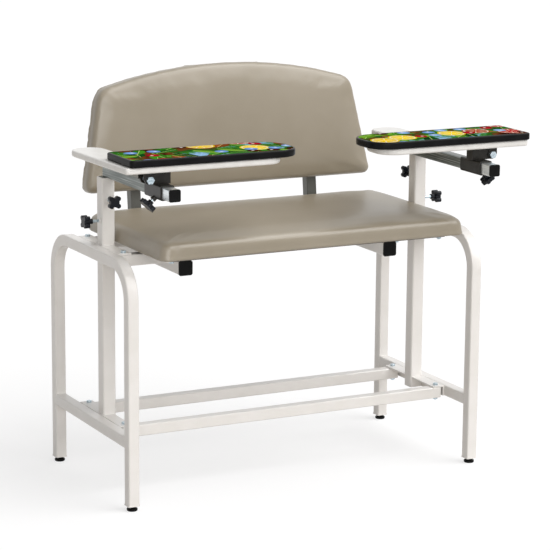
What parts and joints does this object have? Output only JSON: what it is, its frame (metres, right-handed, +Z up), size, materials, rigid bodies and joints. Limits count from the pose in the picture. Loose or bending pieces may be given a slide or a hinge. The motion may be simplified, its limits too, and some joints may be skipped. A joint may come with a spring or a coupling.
{
  "type": "phlebotomy chair",
  "caption": "Extra-wide, extra-tall blood draw chair: bent square tube frame, padded seat and backrest, and two padded arms that lift, slide and flip up.",
  "frame": {"origin": "centre of the whole chair's footprint, on the floor", "axes": "+X along the chair's width towards the arm whose lower knob sits lower, -Y the way the sitter faces, +Z up"},
  "size_m": [1.2519, 0.772, 1.1521],
  "materials": {
    "frame_paint": "satin off-white powder coat",
    "arm_paint": "semi-gloss silver-grey powder coat",
    "upright_paint": "satin dark grey powder coat",
    "bracket_paint": "satin bronze-black paint",
    "hinge_steel": "plain zinc-plated strip",
    "zinc_steel": "bright zinc plating",
    "vinyl": "satin warm taupe vinyl",
    "plywood": "matte sealed plywood",
    "white_laminate": "satin white laminate",
    "pad_foam": "semi-gloss moulded black foam skin",
    "pad_print": "glossy printed film",
    "black_plastic": "matte black plastic",
    "knob_plastic": "semi-gloss black plastic"
  },
  "bodies": {
    "chair_frame": {"side_frame_left": "frame_paint", "side_frame_right": "frame_paint", "angle_upper_left": "frame_paint", "angle_upper_right": "frame_paint", "angle_lower_left": "frame_paint", "angle_lower_right": "frame_paint", "seat_cross_rail_front": "frame_paint", "seat_cross_rail_rear": "frame_paint", "foot_rail_front": "frame_paint", "foot_rail_rear": "frame_paint", "leg_plates": "frame_paint", "foot_glides": "black_plastic", "frame_bolts": "zinc_steel", "frame_nuts": "zinc_steel", "seat_bolts": "zinc_steel", "seat_rail_left": "frame_paint", "seat_rail_right": "frame_paint", "seat_rail_caps": "black_plastic", "back_upright_left": "upright_paint", "back_upright_right": "upright_paint", "upright_bolts": "zinc_steel", "back_screws": "zinc_steel", "seat_board": "plywood", "seat_cushion": "vinyl", "back_board": "plywood", "back_cushion": "vinyl", "arm_post_left": "frame_paint", "arm_post_right": "frame_paint"},
    "arm_carriage_left": {"arm_support_left": "arm_paint", "arm_cap_left": "black_plastic"},
    "arm_bracket_left": {"slide_bracket_left": "bracket_paint", "hinge_bolt_left": "zinc_steel"},
    "armrest_left": {"board_hinge_left": "hinge_steel", "arm_board_left": "white_laminate", "arm_pad_left": "pad_foam", "pad_panel_left": "pad_print"},
    "arm_clamp_left": {"clamp_knob_left": "knob_plastic", "clamp_stud_left": "zinc_steel"},
    "post_knob_upper_left": {"star_knob_upper_left": "knob_plastic", "star_stud_upper_left": "zinc_steel"},
    "post_knob_lower_left": {"star_knob_lower_left": "knob_plastic", "star_stud_lower_left": "zinc_steel"},
    "arm_carriage_right": {"arm_support_right": "arm_paint", "arm_cap_right": "black_plastic"},
    "arm_bracket_right": {"slide_bracket_right": "bracket_paint", "hinge_bolt_right": "zinc_steel"},
    "armrest_right": {"board_hinge_right": "hinge_steel", "arm_board_right": "white_laminate", "arm_pad_right": "pad_foam", "pad_panel_right": "pad_print"},
    "arm_clamp_right": {"clamp_knob_right": "knob_plastic", "clamp_stud_right": "zinc_steel"},
    "post_knob_upper_right": {"star_knob_upper_right": "knob_plastic", "star_stud_upper_right": "zinc_steel"},
    "post_knob_lower_right": {"star_knob_lower_right": "knob_plastic", "star_stud_lower_right": "zinc_steel"}
  },
  "joints": [
    {"name": "arm_lift_left", "type": "slide", "parent": "chair_frame", "child": "arm_carriage_left", "axis": [0, 0, 1], "range_m": [0, 0.1]},
    {"name": "arm_slide_left", "type": "slide", "parent": "arm_carriage_left", "child": "arm_bracket_left", "axis": [0, 1, 0], "range_m": [-0.036, 0.2]},
    {"name": "arm_flip_left", "type": "hinge", "parent": "arm_bracket_left", "child": "armrest_left", "pos_m": [-0.52838, -0.28558, 0.93068], "axis": [0, -1, 0], "range_deg": [0, 90]},
    {"name": "arm_clamp_turn_left", "type": "hinge", "parent": "arm_bracket_left", "child": "arm_clamp_left", "pos_m": [-0.52038, -0.29286, 0.86818], "axis": [-0.7071, 0, -0.7071], "continuous": true},
    {"name": "post_knob_upper_turn_left", "type": "hinge", "parent": "chair_frame", "child": "post_knob_upper_left", "pos_m": [-0.50028, 0.03537, 0.82], "axis": [0, -1, 0], "continuous": true},
    {"name": "post_knob_lower_turn_left", "type": "hinge", "parent": "chair_frame", "child": "post_knob_lower_left", "pos_m": [-0.51933, 0.05442, 0.76], "axis": [-1, 0, 0], "continuous": true},
    {"name": "arm_lift_right", "type": "slide", "parent": "chair_frame", "child": "arm_carriage_right", "axis": [0, 0, 1], "range_m": [0, 0.1]},
    {"name": "arm_slide_right", "type": "slide", "parent": "arm_carriage_right", "child": "arm_bracket_right", "axis": [0, 1, 0], "range_m": [-0.036, 0.2]},
    {"name": "arm_flip_right", "type": "hinge", "parent": "arm_bracket_right", "child": "armrest_right", "pos_m": [0.52838, -0.28558, 0.93068], "axis": [0, 1, 0], "range_deg": [0, 90]},
    {"name": "arm_clamp_turn_right", "type": "hinge", "parent": "arm_bracket_right", "child": "arm_clamp_right", "pos_m": [0.52038, -0.29286, 0.86818], "axis": [0.7071, 0, -0.7071], "continuous": true},
    {"name": "post_knob_upper_turn_right", "type": "hinge", "parent": "chair_frame", "child": "post_knob_upper_right", "pos_m": [0.50028, 0.07347, 0.82], "axis": [0, 1, 0], "continuous": true},
    {"name": "post_knob_lower_turn_right", "type": "hinge", "parent": "chair_frame", "child": "post_knob_lower_right", "pos_m": [0.51933, 0.05442, 0.75], "axis": [1, 0, 0], "continuous": true}
  ]
}
